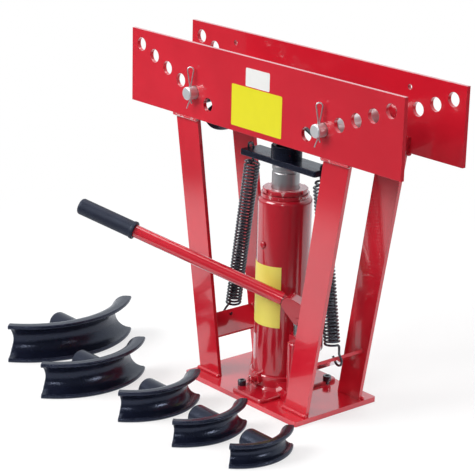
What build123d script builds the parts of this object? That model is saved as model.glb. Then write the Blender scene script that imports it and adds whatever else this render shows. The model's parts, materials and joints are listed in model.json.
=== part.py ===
from build123d import *
import os
from math import atan2, cos, hypot, pi, radians, sin, sqrt

# Hydraulic pipe bender with its set of bending dies, in millimetres, Z up,
# origin on the floor under the middle of the base plate, plates along X.

# Clearances
running_fit = 0.05
seat_fit = 0.1
thread_fit = 0.15
end_play = 0.4

# Frame of two side plates on four splayed legs over a base plate
base_length = 260.0
base_width = 166.0
base_thickness = 8.0
base_corner = 3.0
plate_length = 600.0
plate_height = 116.0
plate_thickness = 6.0
plate_gap = 115.0
plate_over_saddle = 20.0
pin_hole_radius = 10.5
pin_hole_count = 6
pin_hole_first_x = 110.5
pin_hole_pitch = 33.1
pin_hole_first_rise = 27.0
pin_hole_step_up = 13.2
hang_hole_radius = 4.0
hang_hole_x = 191.5
hang_hole_drop = 20.5
leg_thickness = 6.0
leg_overlap = 24.0
leg_foot_inner = 78.0
leg_foot_width = 46.0
leg_top_inner = 146.0
leg_top_width = 52.5
brace_width = 42.0
brace_thickness = 5.0
brace_tilt = 36.0
brace_rise = 70.5
hook_hole_offset = 11.0

# Jack with tank, ram and pump
flange_width = 70.0
flange_length = 158.0
flange_shift = 12.5
flange_thickness = 5.5
flange_corner = 7.0
flange_edge = 1.5
ring_radius = 45.5
ring_height = 27.0
ring_flare = 4.0
jack_floor = 8.0
bolt_diameter = 8.0
bolt_inset_x = 2.0
bolt_inset_y = 20.0
bolt_head_radius = 6.5
bolt_socket = 6.0
tank_radius = 41.5
tank_wall = 3.0
tank_height = 297.0
tank_shoulder = 7.0
cylinder_bore = 24.0
cylinder_wall = 5.0
nut_radius = 34.5
nut_height = 13.0
nut_neck = 12.0
nut_foot = 5.5
nut_groove = 1.5
nut_step = 2.5
nut_edge = 1.2
nut_notch_count = 4
nut_notch_width = 9.0
nut_notch_depth = 2.6
seal_width = 4.0
seal_height = 6.0
ram_radius = 21.0
ram_standing = 36.0
ram_nose_radius = 13.0
ram_groove = 0.8
piston_height = 26.0
piston_stud = 12.0
ram_drop = 34.0
plug_height = 226.0
plug_radius = 5.5
plug_stem = 3.2
valve_height = 20.0
valve_radius = 6.0
valve_boss_radius = 10.0
valve_boss_reach = 52.0
valve_reach = 62.0

pump_x = 68.0
pump_y = -26.0
pump_radius = 16.0
pump_boss_radius = 21.0
pump_boss_height = 20.0
pump_top = 104.0
pump_seat_depth = 6.0
plunger_radius = 7.5
plunger_depth = 54.0
gland_size = 14.0
gland_height = 12.0
eye_radius = 8.0
eye_width = 12.4
lever_bearing = 31.0
lever_arm = 27.0
lever_swing = 35.0
plunger_pin_height = 142.0
plunger_pin_radius = 4.0
plunger_pin_play = 0.8
pivot_radius = 4.5
pivot_boss = 7.5
cheek_thickness = 6.0
strap_thickness = 5.0
strap_radius = 8.0
lug_height = 95.0
rivet_head_radius = 6.8
rivet_head_height = 2.5
handle_height = 160.0
handle_slope = 18.0
handle_radius = 10.0
handle_wall = 2.0
root_distance = 14.0
root_radius = 11.0
spigot_end = 72.0
handle_start = 27.0
handle_end = 371.0
grip_start = 278.0
grip_wall = 3.0
grip_cap = 4.0
grip_collar = 1.2
grip_collar_length = 6.0

# Bending gear above the ram
crossbar_half = 84.0
crossbar_thickness = 9.0
crossbar_width = 40.0
crossbar_corner = 3.0
spring_hole_x = 76.0
spring_hole_radius = 2.2
saddle_radius = 23.5
saddle_edge = 1.5
saddle_height = 21.0
die_spigot_radius = 12.0
die_spigot_height = 20.0
die_boss_radius = 17.5
die_boss_round = 4.0
die_flange = 7.0
die_web = 9.0
die_back_share = 0.78
die_toe_share = 0.45
die_mouth = 2.0
die_edge = 1.5
groove_play = 0.5
fitted_pipe = 60.3
fitted_rim = 225.0
fitted_boss = 44.0
fitted_half_angle = 44.0
loose_half_angle = 47.0
roller_hole = 1
roller_radius = 19.0
roller_waist = 1.5
roller_side_gap = 1.5
pin_radius = 10.0
pin_head_radius = 15.0
pin_head_height = 6.0
pin_overhang = 16.0
clip_setback = 8.5
clip_hole_radius = 2.4
clip_wire = 1.0
clip_leg_gap = 0.2
clip_loop_width = 9.0
clip_loop_top = 41.0
clip_loop_root = 12.5
clip_tail = 24.0

# Return springs
wire_radius = 1.6
spring_radius = 10.95
spring_turns = 50
spring_bend = 4.0
spring_lead_low = 17.0
spring_lead_high = 7.0
spring_tip = 3.0

# Loose dies: pipe size, rim radius, boss length and arc centre on the floor
loose_dies = {
    "die_1": (48.3, 168.0, 60.0, -456.0, -155.0),
    "die_2": (42.4, 136.0, 51.0, -278.4, -220.5),
    "die_3": (33.7, 107.0, 41.0, -116.0, -201.6),
    "die_4": (26.9, 97.0, 41.0, 9.8, -201.0),
    "die_5": (21.3, 83.0, 38.0, 124.0, -192.4),
}

# Heights and places that follow from the sizes above
leg_inside = plate_gap / 2 - leg_thickness
roller_length = 2 * (leg_inside - roller_side_gap)
jack_bottom = base_thickness + jack_floor
tank_top = jack_bottom + tank_height
nut_top = tank_top + nut_height
ram_top = nut_top + ram_standing
ram_bottom = jack_bottom + ram_drop + 2.0
cylinder_outer = cylinder_bore + cylinder_wall
crossbar_top = ram_top + crossbar_thickness
saddle_top = crossbar_top + saddle_height
plate_bottom = saddle_top + plate_over_saddle
plate_top = plate_bottom + plate_height
leg_top = plate_bottom + leg_overlap
valve_z = base_thickness + valve_height
flange_top = base_thickness + flange_thickness
boss_top = base_thickness + pump_boss_height
pin_places = [
    (
        side * (pin_hole_first_x + k * pin_hole_pitch),
        plate_bottom + pin_hole_first_rise + k * pin_hole_step_up,
    )
    for side in (-1, 1)
    for k in range(pin_hole_count)
]
roller_x = pin_hole_first_x + roller_hole * pin_hole_pitch
roller_z = plate_bottom + pin_hole_first_rise + roller_hole * pin_hole_step_up
bolt_places = [
    (flange_shift - flange_width / 2 + bolt_inset_x, bolt_inset_y - flange_length / 2),
    (flange_shift + flange_width / 2 - bolt_inset_x, flange_length / 2 - bolt_inset_y),
]


def finish(builder, name):
    """Name a finished piece and write it out."""
    builder.part.label = name
    export_step(builder.part, f"parts/{name}.step")


os.makedirs("parts", exist_ok=True)

# Base plate with the two holes of the jack's screws
with BuildPart() as base_plate:
    with BuildSketch():
        RectangleRounded(base_length, base_width, base_corner)
    extrude(amount=base_thickness)
    with Locations(*bolt_places):
        Hole(bolt_diameter / 2 + seat_fit)
finish(base_plate, "base_plate")


def side_plate(plane, hanging):
    """One side plate with its two rising rows of pin holes."""
    with BuildPart() as plate:
        with BuildSketch(plane):
            with Locations((0, plate_bottom + plate_height / 2)):
                Rectangle(plate_length, plate_height)
            with Locations(*pin_places):
                Circle(pin_hole_radius, mode=Mode.SUBTRACT)
            if hanging:
                with Locations(
                    (-hang_hole_x, plate_top - hang_hole_drop),
                    (hang_hole_x, plate_top - hang_hole_drop),
                ):
                    Circle(hang_hole_radius, mode=Mode.SUBTRACT)
        extrude(amount=plate_thickness)
    return plate


front_plate = side_plate(Plane.XZ.offset(plate_gap / 2), False)
finish(front_plate, "front_plate")
back_plate = side_plate(Plane.XZ.offset(-plate_gap / 2 - plate_thickness), True)
finish(back_plate, "back_plate")


def leg(side, plane):
    """A flat leg that leans outwards and widens towards the plates."""
    with BuildPart() as strip:
        with BuildSketch(plane):
            with BuildLine():
                Polyline(
                    (side * leg_foot_inner, base_thickness),
                    (side * (leg_foot_inner + leg_foot_width), base_thickness),
                    (side * (leg_top_inner + leg_top_width), leg_top),
                    (side * leg_top_inner, leg_top),
                    close=True,
                )
            make_face()
        extrude(amount=leg_thickness)
    return strip


front_leg_plane = Plane.XZ.offset(leg_inside)
back_leg_plane = Plane.XZ.offset(-plate_gap / 2)
finish(leg(-1, front_leg_plane), "leg_front_left")
finish(leg(1, front_leg_plane), "leg_front_right")
finish(leg(-1, back_leg_plane), "leg_back_left")
finish(leg(1, back_leg_plane), "leg_back_right")

# The braces lie on the middle line of the legs, outer edge up
leg_rise = leg_top - base_thickness
foot_middle = leg_foot_inner + leg_foot_width / 2
top_middle = leg_top_inner + leg_top_width / 2
brace_x = foot_middle + (top_middle - foot_middle) * brace_rise / leg_rise
brace_z = base_thickness + brace_rise
hook_x = brace_x + hook_hole_offset * cos(radians(brace_tilt))
hook_z = brace_z + hook_hole_offset * sin(radians(brace_tilt))


def brace(side):
    """A tilted strip between two legs with the hole of a spring hook."""
    across = Plane(
        origin=(side * hook_x, 0, hook_z),
        x_dir=(0, 1, 0),
        z_dir=(-side * sin(radians(brace_tilt)), 0, cos(radians(brace_tilt))),
    )
    with BuildPart() as strip:
        with BuildSketch(Plane.XZ):
            with Locations((side * brace_x, brace_z)):
                Rectangle(brace_width, brace_thickness, rotation=side * brace_tilt)
        extrude(amount=leg_inside, both=True)
        with BuildSketch(across):
            Circle(spring_hole_radius)
        extrude(amount=brace_thickness, both=True, mode=Mode.SUBTRACT)
    return strip


finish(brace(-1), "brace_left")
finish(brace(1), "brace_right")

# Jack base: flange, ring round the tank, pump boss, web to it and valve boss
with BuildPart() as jack_base:
    with BuildSketch(Plane.XY.offset(base_thickness)):
        with Locations((flange_shift, 0)):
            RectangleRounded(flange_width, flange_length, flange_corner)
        with Locations(*bolt_places):
            Circle(bolt_diameter / 2 + seat_fit, mode=Mode.SUBTRACT)
    extrude(amount=flange_thickness)
    chamfer(jack_base.faces().sort_by(Axis.Z)[-1].outer_wire().edges(), flange_edge)
    with BuildSketch(Plane.XY.offset(base_thickness)):
        Circle(ring_radius)
    extrude(amount=ring_height)
    chamfer(jack_base.faces().sort_by(Axis.Z)[-1].edges(), flange_edge)
    with BuildSketch(Plane.XY.offset(base_thickness)):
        Circle(ring_radius + ring_flare)
    extrude(amount=flange_thickness)
    with BuildSketch(Plane.XY.offset(flange_top)):
        Circle(ring_radius + ring_flare)
    extrude(amount=ring_flare, taper=45)
    with BuildSketch(Plane.XY.offset(base_thickness)):
        with Locations((pump_x, pump_y)):
            Circle(pump_boss_radius)
        Circle(pump_boss_radius)
        make_hull()
    extrude(amount=pump_boss_height)
    with BuildSketch(Plane.XZ):
        with Locations((0, valve_z)):
            Circle(valve_boss_radius)
    extrude(amount=valve_boss_reach)
    with BuildSketch(Plane.XY.offset(jack_bottom)):
        Circle(tank_radius + running_fit)
    extrude(amount=ring_height, mode=Mode.SUBTRACT)
    with BuildSketch(Plane.XY.offset(boss_top - pump_seat_depth)):
        with Locations((pump_x, pump_y)):
            Circle(pump_radius + running_fit)
    extrude(amount=pump_seat_depth, mode=Mode.SUBTRACT)
    with BuildSketch(Plane.XZ.offset(ring_radius - 1.0)):
        with Locations((0, valve_z)):
            Circle(valve_radius + thread_fit)
    extrude(amount=valve_boss_reach, mode=Mode.SUBTRACT)
finish(jack_base, "jack_base")

# Two socket screws that clamp the flange
with BuildPart() as jack_bolts:
    with BuildSketch(Plane.XY.offset(1.0)):
        with Locations(*bolt_places):
            Circle(bolt_diameter / 2)
    extrude(amount=flange_top - 1.0)
    with BuildSketch(Plane.XY.offset(flange_top)):
        with Locations(*bolt_places):
            Circle(bolt_head_radius)
    extrude(amount=bolt_diameter)
    chamfer(jack_bolts.faces().sort_by(Axis.Z)[-2:].edges(), 0.6)
    with BuildSketch(Plane.XY.offset(flange_top + bolt_diameter)):
        with Locations(*bolt_places):
            RegularPolygon(bolt_socket / 2, 6, major_radius=False)
    extrude(amount=-bolt_diameter / 2, mode=Mode.SUBTRACT)
finish(jack_bolts, "jack_bolts")

# Release valve: a screw with a cross slot in the front of the base
with BuildPart() as release_valve:
    with BuildSketch(Plane.XZ.offset(ring_radius)):
        with Locations((0, valve_z)):
            Circle(valve_radius)
    extrude(amount=valve_reach - ring_radius)
    chamfer(release_valve.faces().sort_by(Axis.Y)[0].edges(), 0.8)
    with BuildSketch(Plane.XZ.offset(valve_reach)):
        with Locations((0, valve_z)):
            Rectangle(2.0, 3 * valve_radius)
            Rectangle(3 * valve_radius, 2.0)
    extrude(amount=-4.0, mode=Mode.SUBTRACT)
finish(release_valve, "release_valve")

# Inner cylinder that the piston slides in
with BuildPart() as jack_cylinder:
    with BuildSketch(Plane.XY.offset(jack_bottom)):
        Circle(cylinder_outer)
        Circle(cylinder_bore, mode=Mode.SUBTRACT)
    extrude(amount=tank_height - nut_neck)
finish(jack_cylinder, "jack_cylinder")

# Outer oil tank with rounded shoulder and filler hole
with BuildPart() as jack_tank:
    with BuildSketch(Plane.XZ):
        with BuildLine():
            l1 = Polyline(
                (cylinder_outer + seat_fit, tank_top),
                (tank_radius - tank_shoulder, tank_top),
            )
            l2 = TangentArc(l1 @ 1, (tank_radius, tank_top - tank_shoulder), tangent=(1, 0))
            l3 = Polyline(
                l2 @ 1,
                (tank_radius, jack_bottom),
                (tank_radius - tank_wall, jack_bottom),
                (tank_radius - tank_wall, tank_top - tank_shoulder),
            )
            l4 = TangentArc(
                l3 @ 1,
                (tank_radius - tank_shoulder, tank_top - tank_wall),
                tangent=(0, 1),
            )
            Polyline(
                l4 @ 1,
                (cylinder_outer + seat_fit, tank_top - tank_wall),
                (cylinder_outer + seat_fit, tank_top),
            )
        make_face()
    revolve(axis=Axis.Z)
    with BuildSketch(Plane.XZ):
        with Locations((0, jack_bottom + plug_height)):
            Circle(plug_stem + seat_fit)
    extrude(amount=2 * tank_radius, mode=Mode.SUBTRACT)
finish(jack_tank, "jack_tank")

# Filler plug with a domed cap pressed on the curved tank wall
with BuildPart() as filler_plug:
    with BuildSketch(Plane.XZ.offset(tank_radius - tank_wall - 2.0)):
        with Locations((0, jack_bottom + plug_height)):
            Circle(plug_stem)
    extrude(amount=tank_wall + 4.0)
    with BuildSketch(Plane.XZ.offset(tank_radius + 0.1)):
        with Locations((0, jack_bottom + plug_height)):
            Circle(plug_radius)
    extrude(amount=3.0)
    fillet(filler_plug.faces().sort_by(Axis.Y)[0].edges(), 2.2)
finish(filler_plug, "filler_plug")

# Head nut: neck in the tank top, lower ring, groove and a notched ring for a spanner
with BuildPart() as head_nut:
    with BuildSketch(Plane.XY.offset(tank_top - nut_neck)):
        Circle(cylinder_outer)
    extrude(amount=nut_neck)
    with BuildSketch(Plane.XY.offset(tank_top)):
        Circle(nut_radius + nut_step)
    extrude(amount=nut_foot)
    with BuildSketch(Plane.XY.offset(tank_top + nut_foot)):
        Circle(nut_radius - nut_step)
    extrude(amount=nut_groove)
    with BuildSketch(Plane.XY.offset(tank_top + nut_foot + nut_groove)):
        Circle(nut_radius)
        with PolarLocations(nut_radius, nut_notch_count):
            Rectangle(2 * nut_notch_depth, nut_notch_width, mode=Mode.SUBTRACT)
    extrude(amount=nut_height - nut_foot - nut_groove)
    chamfer(head_nut.faces().sort_by(Axis.Z)[-1].edges(), nut_edge)
    with BuildSketch(Plane.XY.offset(tank_top - nut_neck)):
        Circle(ram_radius + running_fit)
    extrude(amount=nut_neck + nut_height, mode=Mode.SUBTRACT)
    with BuildSketch(Plane.XY.offset(tank_top)):
        Circle(ram_radius + seal_width + 2 * running_fit)
    extrude(amount=seal_height + 2 * running_fit, mode=Mode.SUBTRACT)
    chamfer(head_nut.faces().sort_by(Axis.Z)[-1].inner_wires()[0].edges(), nut_edge)
finish(head_nut, "head_nut")

# Seal ring in the groove of the nut
with BuildPart() as rod_seal:
    with BuildSketch(Plane.XY.offset(tank_top + running_fit)):
        Circle(ram_radius + seal_width)
        Circle(ram_radius + running_fit, mode=Mode.SUBTRACT)
    extrude(amount=seal_height)
finish(rod_seal, "rod_seal")

# Ram: polished rod with a nose on top and a stud for the piston below
with BuildPart() as ram:
    with BuildSketch(Plane.XZ):
        with BuildLine():
            Polyline(
                (0, ram_bottom),
                (piston_stud, ram_bottom),
                (piston_stud, ram_bottom + piston_height),
                (ram_radius, ram_bottom + piston_height),
                (ram_radius, ram_top - 12.0),
                (ram_radius - ram_groove, ram_top - 11.0),
                (ram_radius - ram_groove, ram_top - 8.0),
                (ram_radius, ram_top - 7.0),
                (ram_radius, ram_top - 1.5),
                (ram_radius - 1.5, ram_top),
                (ram_nose_radius, ram_top),
                (ram_nose_radius, crossbar_top - end_play),
                (0, crossbar_top - end_play),
                close=True,
            )
        make_face()
    revolve(axis=Axis.Z)
finish(ram, "ram")

# Piston with a ring groove, on the stud of the ram
with BuildPart() as ram_piston:
    with BuildSketch(Plane.XY.offset(ram_bottom)):
        Circle(cylinder_bore - running_fit)
        Circle(piston_stud, mode=Mode.SUBTRACT)
    extrude(amount=piston_height)
    with BuildSketch(Plane.XY.offset(ram_bottom + piston_height / 2)):
        Circle(cylinder_bore)
        Circle(cylinder_bore - 3.0, mode=Mode.SUBTRACT)
    extrude(amount=5.0, mode=Mode.SUBTRACT)
finish(ram_piston, "ram_piston")

# Pump: the lever swings in an upright plane through the pump axis, local x along
# the handle, local y up
swing_plane = Plane(
    origin=(pump_x, pump_y, 0),
    x_dir=(-cos(radians(lever_bearing)), -sin(radians(lever_bearing)), 0),
    z_dir=(-sin(radians(lever_bearing)), cos(radians(lever_bearing)), 0),
)
half_swing = radians(lever_swing / 2)
pin_shift = lever_arm * (1 - cos(half_swing)) / 2
crank_pin = (-pin_shift, plunger_pin_height)
fulcrum = (
    -pin_shift - lever_arm * cos(half_swing),
    plunger_pin_height + lever_arm * sin(half_swing),
)
anchor = (fulcrum[0], lug_height)
slope = radians(handle_slope)
root = (root_distance * cos(slope), handle_height + root_distance * sin(slope))
fork_half = eye_width / 2 + end_play / 2 + cheek_thickness
strap_inside = fork_half + end_play / 2
strap_outside = strap_inside + strap_thickness


def along_handle(distance):
    """Plane square to the handle at a distance from the pump axis."""
    return Plane(
        origin=swing_plane.from_local_coords(
            (distance * cos(slope), handle_height + distance * sin(slope), 0)
        ),
        x_dir=swing_plane.z_dir,
        z_dir=swing_plane.x_dir * cos(slope) + Vector(0, 0, sin(slope)),
    )


# Pump body with the plunger bore and the lug of the link straps
with BuildPart() as pump_body:
    with BuildSketch(Plane.XY.offset(boss_top - pump_seat_depth)):
        with Locations((pump_x, pump_y)):
            Circle(pump_radius)
    extrude(amount=pump_top - boss_top + pump_seat_depth)
    chamfer(pump_body.faces().sort_by(Axis.Z)[-1].edges(), 1.5)
    with BuildSketch(swing_plane):
        with Locations(anchor):
            Circle(pivot_boss)
        with Locations((0, lug_height - pivot_boss)):
            Circle(pivot_boss)
        make_hull()
        with Locations(anchor):
            Circle(pivot_radius + running_fit, mode=Mode.SUBTRACT)
    extrude(amount=fork_half, both=True)
    with BuildSketch(Plane.XY.offset(pump_top)):
        with Locations((pump_x, pump_y)):
            Circle(plunger_radius + running_fit)
    extrude(amount=-plunger_depth - gland_height, mode=Mode.SUBTRACT)
finish(pump_body, "pump_body")

# Gland nut over the plunger
with BuildPart() as pump_gland:
    with BuildSketch(Plane.XY.offset(pump_top)):
        with Locations((pump_x, pump_y)):
            RegularPolygon(gland_size, 6)
            Circle(plunger_radius + running_fit, mode=Mode.SUBTRACT)
    extrude(amount=gland_height)
finish(pump_gland, "pump_gland")

# Plunger with a flat eye for the lever pin
with BuildPart() as pump_plunger:
    with BuildSketch(Plane.XY.offset(pump_top - plunger_depth)):
        with Locations((pump_x, pump_y)):
            Circle(plunger_radius)
    extrude(amount=plunger_pin_height - pivot_boss - 3.0 - pump_top + plunger_depth)
    with BuildSketch(swing_plane):
        with Locations((0, plunger_pin_height)):
            Circle(eye_radius)
        with Locations((0, plunger_pin_height - pivot_boss - 3.0)):
            Rectangle(2 * plunger_radius - 3.0, 2.0)
        make_hull()
        with Locations((0, plunger_pin_height)):
            Circle(plunger_pin_radius + plunger_pin_play, mode=Mode.SUBTRACT)
    extrude(amount=eye_width / 2, both=True)
finish(pump_plunger, "pump_plunger")

# Fork lever: two cheeks round the plunger eye and a spigot for the handle
with BuildPart() as fork_lever:
    with BuildSketch(swing_plane):
        with Locations(fulcrum, crank_pin):
            Circle(pivot_boss)
        with Locations(root):
            Circle(root_radius)
        make_hull()
        with Locations(fulcrum):
            Circle(pivot_radius + running_fit, mode=Mode.SUBTRACT)
        with Locations(crank_pin):
            Circle(plunger_pin_radius, mode=Mode.SUBTRACT)
    extrude(amount=fork_half, both=True)
    with BuildSketch(swing_plane):
        with Locations(fulcrum, crank_pin):
            Circle(pivot_boss + 3.0)
        with Locations((crank_pin[0], crank_pin[1] - 2 * pivot_boss)):
            Circle(2 * pivot_boss)
        make_hull()
    extrude(amount=fork_half - cheek_thickness, both=True, mode=Mode.SUBTRACT)
    with BuildSketch(along_handle(root_distance)):
        Circle(handle_radius - handle_wall - seat_fit)
    extrude(amount=spigot_end - root_distance)
    chamfer(fork_lever.faces().sort_by(Axis.Z)[-1].edges(), 1.0)
finish(fork_lever, "fork_lever")

# Pin of the plunger eye, held in the cheeks
with BuildPart() as plunger_pin:
    with BuildSketch(swing_plane):
        with Locations(crank_pin):
            Circle(plunger_pin_radius)
    extrude(amount=fork_half + 1.5, both=True)
finish(plunger_pin, "plunger_pin")

# Two straps from the lug up to the fulcrum
with BuildPart() as link_straps:
    with BuildSketch(swing_plane.offset(strap_inside), swing_plane.offset(-strap_outside)):
        with Locations(anchor, fulcrum):
            Circle(strap_radius)
        make_hull()
        with Locations(anchor, fulcrum):
            Circle(pivot_radius + running_fit, mode=Mode.SUBTRACT)
    extrude(amount=strap_thickness)
finish(link_straps, "link_straps")


def rivet(place):
    """A pivot pin with a flat round head outside each strap."""
    with BuildPart() as pin:
        with BuildSketch(swing_plane):
            with Locations(place):
                Circle(pivot_radius)
        extrude(amount=strap_outside + running_fit, both=True)
        with BuildSketch(
            swing_plane.offset(strap_outside + running_fit),
            swing_plane.offset(-strap_outside - running_fit - rivet_head_height),
        ):
            with Locations(place):
                Circle(rivet_head_radius)
        extrude(amount=rivet_head_height)
    return pin


finish(rivet(anchor), "anchor_pin")
finish(rivet(fulcrum), "fulcrum_pin")

# Handle tube over the spigot
with BuildPart() as handle_tube:
    with BuildSketch(along_handle(handle_start)):
        Circle(handle_radius)
        Circle(handle_radius - handle_wall, mode=Mode.SUBTRACT)
    extrude(amount=handle_end - handle_start)
finish(handle_tube, "handle_tube")

# Rubber grip with a collar at its mouth and a rounded closed end
with BuildPart() as handle_grip:
    with BuildSketch(along_handle(grip_start)):
        Circle(handle_radius + grip_wall)
    extrude(amount=handle_end + grip_cap - grip_start)
    fillet(handle_grip.faces().sort_by(Axis.Z)[-1].edges(), grip_cap)
    with BuildSketch(along_handle(grip_start)):
        Circle(handle_radius + grip_wall + grip_collar)
    extrude(amount=grip_collar_length)
    with BuildSketch(along_handle(grip_start)):
        Circle(handle_radius)
    extrude(amount=handle_end - grip_start, mode=Mode.SUBTRACT)
finish(handle_grip, "handle_grip")

# Crossbar: a broad flat bar on the ram with the hole of a spring near each end
with BuildPart() as spring_crossbar:
    with BuildSketch(Plane.XY.offset(ram_top)):
        RectangleRounded(2 * crossbar_half, crossbar_width, crossbar_corner)
        Circle(ram_nose_radius + seat_fit, mode=Mode.SUBTRACT)
        with Locations((-spring_hole_x, 0), (spring_hole_x, 0)):
            Circle(spring_hole_radius, mode=Mode.SUBTRACT)
    extrude(amount=crossbar_thickness)
    chamfer(spring_crossbar.faces().sort_by(Axis.Z)[-1].outer_wire().edges(), 0.8)
finish(spring_crossbar, "spring_crossbar")

# Round saddle with the spigot that the dies drop on
with BuildPart() as die_saddle:
    with BuildSketch(Plane.XY.offset(crossbar_top)):
        Circle(saddle_radius)
    extrude(amount=saddle_height)
    chamfer(die_saddle.faces().sort_by(Axis.Z)[-1].edges(), saddle_edge)
    with BuildSketch(Plane.XY.offset(saddle_top)):
        Circle(die_spigot_radius)
    extrude(amount=die_spigot_height)
    chamfer(die_saddle.faces().sort_by(Axis.Z)[-1].edges(), 2.0)
finish(die_saddle, "die_saddle")


def die_depth(pipe):
    """Radial depth of a die's section from its rim to its inner face."""
    return pipe / 2 + groove_play + die_web


def toe_corners(end, half_angle, inner, toe):
    """Back, middle and end points of a toe's round, then the corners of the waste outside it."""
    turn = radians(half_angle)
    slant = turn - toe / inner
    radial = Vector(cos(turn), end * sin(turn))
    outward = Vector(-sin(turn), end * cos(turn)) * (2 * die_edge)
    on_end = radial * (inner + toe)
    on_back = Vector(cos(slant), end * sin(slant)) * inner
    corner = radial * inner
    middle = (on_end + on_back) * (1 - sqrt(0.5)) + corner * (2 * sqrt(0.5) - 1)
    waste = [on_end + outward, corner + outward - radial * toe, on_back - radial * toe]
    return on_back, middle, on_end, waste


def bending_die(frame, pipe, rim, half_angle, boss_length):
    """A cast bending die: an arc-shaped shoe with a round groove for the pipe.

    The frame's origin is the arc centre, its x axis points at the crown and its
    z axis is the arc's axis. The boss stands inside the arc with a socket.
    """
    groove = pipe / 2 + groove_play
    half = pipe / 2 + die_flange
    inner = rim - die_depth(pipe)
    back_round = die_back_share * half
    side_depth = die_depth(pipe) - back_round
    toe = die_toe_share * die_depth(pipe)
    axis = Axis(frame.origin, frame.z_dir)
    sweep_half = radians(half_angle)
    first = frame.x_dir * cos(sweep_half) - frame.y_dir * sin(sweep_half)
    section = Plane(origin=frame.origin, x_dir=first, z_dir=first.cross(frame.z_dir))
    socket = Plane(
        origin=frame.origin + frame.x_dir * (inner - boss_length),
        x_dir=frame.z_dir,
        z_dir=frame.x_dir,
    )
    with BuildPart() as die:
        with BuildSketch(section):
            with BuildLine():
                Polyline(
                    (rim - side_depth, -half),
                    (rim - die_edge, -half),
                    (rim, die_edge - half),
                    (rim, half - die_edge),
                    (rim - die_edge, half),
                    (rim - side_depth, half),
                )
                TangentArc(
                    (rim - side_depth, half), (inner, half - back_round), tangent=(-1, 0)
                )
                Line((inner, half - back_round), (inner, back_round - half))
                TangentArc(
                    (inner, back_round - half), (rim - side_depth, -half), tangent=(0, -1)
                )
            make_face()
        revolve(axis=axis, revolution_arc=2 * half_angle)
        for end in (-1, 1):
            on_back, middle, on_end, waste = toe_corners(end, half_angle, inner, toe)
            with BuildSketch(frame):
                with BuildLine():
                    ThreePointArc(on_back, middle, on_end)
                    Polyline(on_end, *waste, on_back)
                make_face()
            extrude(amount=half + die_edge, both=True, mode=Mode.SUBTRACT)
        with BuildSketch(socket):
            Circle(die_boss_radius)
        extrude(amount=boss_length + back_round)
        boss_edges = die.edges(Select.LAST).filter_by(GeomType.CIRCLE)
        fillet(boss_edges.sort_by(Axis(socket.origin, socket.z_dir))[0], die_boss_round)
        with BuildSketch(socket):
            Circle(die_spigot_radius + seat_fit)
        extrude(amount=die_spigot_height + end_play, mode=Mode.SUBTRACT)
        with BuildSketch(section):
            with BuildLine():
                ThreePointArc(
                    (rim - die_mouth, -groove), (rim - die_mouth - groove, 0), (rim - die_mouth, groove)
                )
                Polyline(
                    (rim - die_mouth, groove),
                    (rim, groove + die_mouth),
                    (rim + die_edge, groove + die_mouth),
                    (rim + die_edge, -groove - die_mouth),
                    (rim, -groove - die_mouth),
                    (rim - die_mouth, -groove),
                )
            make_face()
        revolve(axis=axis, revolution_arc=2 * half_angle, mode=Mode.SUBTRACT)
    return die


fitted_centre = saddle_top + fitted_boss + die_depth(fitted_pipe) - fitted_rim
fitted_die = bending_die(
    Plane(origin=(0, 0, fitted_centre), x_dir=(0, 0, 1), z_dir=(0, 1, 0)),
    fitted_pipe,
    fitted_rim,
    fitted_half_angle,
    fitted_boss,
)
finish(fitted_die, "fitted_die")

for name, (pipe, rim, boss, x, y) in loose_dies.items():
    lying = Plane(origin=(x, y, pipe / 2 + die_flange), x_dir=(1, 0, 0), z_dir=(0, 0, 1))
    die = bending_die(lying, pipe, rim, loose_half_angle, boss)
    finish(die, name)


def roller(side):
    """A counter roller with a slight waist, bored for its pin."""
    centre = Plane(origin=(side * roller_x, 0, roller_z), x_dir=(1, 0, 0), z_dir=(0, 0, 1))
    with BuildPart() as body:
        with BuildSketch(centre):
            with BuildLine():
                Polyline(
                    (roller_radius - 1.0, roller_length / 2),
                    (pin_radius + running_fit, roller_length / 2),
                    (pin_radius + running_fit, -roller_length / 2),
                    (roller_radius - 1.0, -roller_length / 2),
                    (roller_radius, -roller_length / 2 + 1.0),
                )
                ThreePointArc(
                    (roller_radius, -roller_length / 2 + 1.0),
                    (roller_radius - roller_waist, 0),
                    (roller_radius, roller_length / 2 - 1.0),
                )
                Line(
                    (roller_radius, roller_length / 2 - 1.0),
                    (roller_radius - 1.0, roller_length / 2),
                )
            make_face()
        revolve(axis=Axis(centre.origin, (0, 1, 0)))
    return body


finish(roller(-1), "roller_left")
finish(roller(1), "roller_right")

# Roller pins: headed at the back, drilled for a clip at the front
pin_back = plate_gap / 2 + plate_thickness + end_play
pin_front = plate_gap / 2 + plate_thickness + pin_overhang
clip_y = -pin_front + clip_setback


def roller_pin(side):
    """A headed pin across both plates with a cross hole for its clip."""
    with BuildPart() as pin:
        with BuildSketch(Plane.XZ.offset(-pin_back)):
            with Locations((side * roller_x, roller_z)):
                Circle(pin_radius)
        extrude(amount=pin_back + pin_front)
        chamfer(pin.faces().sort_by(Axis.Y)[0].edges(), 1.5)
        with BuildSketch(Plane.XZ.offset(-pin_back - pin_head_height)):
            with Locations((side * roller_x, roller_z)):
                Circle(pin_head_radius)
        extrude(amount=pin_head_height)
        chamfer(pin.faces().sort_by(Axis.Y)[-1].edges(), 1.5)
        with BuildSketch(Plane.XY.offset(roller_z)):
            with Locations((side * roller_x, clip_y)):
                Circle(clip_hole_radius)
        extrude(amount=pin_radius, both=True, mode=Mode.SUBTRACT)
    return pin


finish(roller_pin(-1), "roller_pin_left")
finish(roller_pin(1), "roller_pin_right")


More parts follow.
